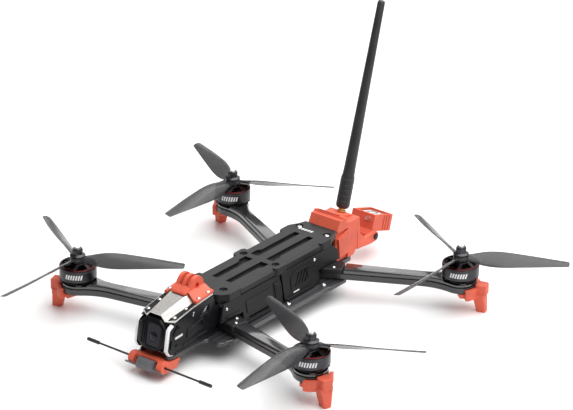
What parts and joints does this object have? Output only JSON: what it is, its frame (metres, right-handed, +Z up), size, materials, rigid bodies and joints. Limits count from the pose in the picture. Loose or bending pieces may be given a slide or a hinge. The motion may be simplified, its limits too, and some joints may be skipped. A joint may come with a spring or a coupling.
{
  "type": "fpv racing drone",
  "caption": "Long-range first-person-view quadcopter: slim carbon frame, twisted-blade propellers, tilting nose camera, orange feet and mounts, folding GPS tray and a tall whip antenna.",
  "frame": {"origin": "centre of the four motor axes, on the underside of the bottom plate", "axes": "the nose points to -Y, the drone's left is +X and up is +Z; the feet stand on z = -15 mm"},
  "size_m": [0.4289, 0.367, 0.2436],
  "materials": {
    "carbon_plate": "satin black carbon fibre",
    "black_plastic": "satin black moulding",
    "nose_plastic": "satin black moulding with a bright front edge",
    "gloss_black": "gloss",
    "orange_soft_plastic": "printed soft plastic, satin",
    "black_anodised": "satin black",
    "red_copper": "enamelled windings",
    "smoke_plastic": "satin smoke grey",
    "silver_sheet": "brushed sheet",
    "steel": "polished",
    "brass": "machined",
    "lens_glass": "dark coated glass",
    "grey_plastic": "matt dark grey",
    "antenna_rubber": "satin",
    "circuit_board": "solder mask",
    "capacitor_sleeve": "shrink sleeve"
  },
  "bodies": {
    "frame": {"bottom_plate": "carbon_plate", "arm_plate_front_left": "carbon_plate", "arm_cover_front_left": "black_plastic", "arm_clamp_front_left": "black_plastic", "foot_front_left": "orange_soft_plastic", "motor_stator_front_left": "red_copper", "arm_plate_front_right": "carbon_plate", "arm_cover_front_right": "black_plastic", "arm_clamp_front_right": "black_plastic", "foot_front_right": "orange_soft_plastic", "motor_stator_front_right": "red_copper", "arm_plate_rear_left": "carbon_plate", "arm_cover_rear_left": "black_plastic", "arm_clamp_rear_left": "black_plastic", "foot_rear_left": "orange_soft_plastic", "motor_stator_rear_left": "red_copper", "arm_plate_rear_right": "carbon_plate", "arm_cover_rear_right": "black_plastic", "arm_clamp_rear_right": "black_plastic", "foot_rear_right": "orange_soft_plastic", "motor_stator_rear_right": "red_copper", "top_shell": "black_plastic", "side_panel_front_left": "black_plastic", "side_panel_front_right": "black_plastic", "side_panel_rear_left": "black_plastic", "side_panel_rear_right": "black_plastic", "nose_plate_left": "nose_plastic", "nose_plate_right": "nose_plastic", "nose_cover": "silver_sheet", "action_mount": "orange_soft_plastic", "antenna_holder": "orange_soft_plastic", "antenna_capsule": "grey_plastic", "receiver_antenna_left": "antenna_rubber", "receiver_antenna_right": "antenna_rubber", "tail_block": "orange_soft_plastic", "antenna_collar": "brass", "whip_antenna": "antenna_rubber", "gps_pivot_pin": "steel", "speed_controller": "circuit_board", "flight_controller": "circuit_board", "video_transmitter": "silver_sheet", "capacitor": "capacitor_sleeve"},
    "rotor_front_left": {"motor_bell_front_left": "black_anodised", "propeller_front_left": "smoke_plastic", "prop_nut_front_left": "black_anodised"},
    "rotor_front_right": {"motor_bell_front_right": "black_anodised", "propeller_front_right": "smoke_plastic", "prop_nut_front_right": "black_anodised"},
    "rotor_rear_left": {"motor_bell_rear_left": "black_anodised", "propeller_rear_left": "smoke_plastic", "prop_nut_rear_left": "black_anodised"},
    "rotor_rear_right": {"motor_bell_rear_right": "black_anodised", "propeller_rear_right": "smoke_plastic", "prop_nut_rear_right": "black_anodised"},
    "camera": {"camera_body": "black_plastic", "camera_bezel": "gloss_black", "camera_lens": "lens_glass"},
    "gps": {"gps_tray": "orange_soft_plastic", "gps_module": "black_plastic"}
  },
  "joints": [
    {"name": "rotor_front_left_spin", "type": "hinge", "parent": "frame", "child": "rotor_front_left", "pos_m": [0.1298, -0.1067, 0.024], "axis": [0, 0, 1], "continuous": true},
    {"name": "rotor_front_right_spin", "type": "hinge", "parent": "frame", "child": "rotor_front_right", "pos_m": [-0.1298, -0.1067, 0.024], "axis": [0, 0, 1], "continuous": true},
    {"name": "rotor_rear_left_spin", "type": "hinge", "parent": "frame", "child": "rotor_rear_left", "pos_m": [0.1298, 0.1067, 0.024], "axis": [0, 0, 1], "continuous": true},
    {"name": "rotor_rear_right_spin", "type": "hinge", "parent": "frame", "child": "rotor_rear_right", "pos_m": [-0.1298, 0.1067, 0.024], "axis": [0, 0, 1], "continuous": true},
    {"name": "camera_tilt", "type": "hinge", "parent": "frame", "child": "camera", "pos_m": [0, -0.1455, 0.0186], "axis": [1, 0, 0], "range_deg": [0, 13]},
    {"name": "gps_fold", "type": "hinge", "parent": "frame", "child": "gps", "pos_m": [0, 0.133, 0.0108], "axis": [1, 0, 0], "range_deg": [-20, 30]}
  ]
}
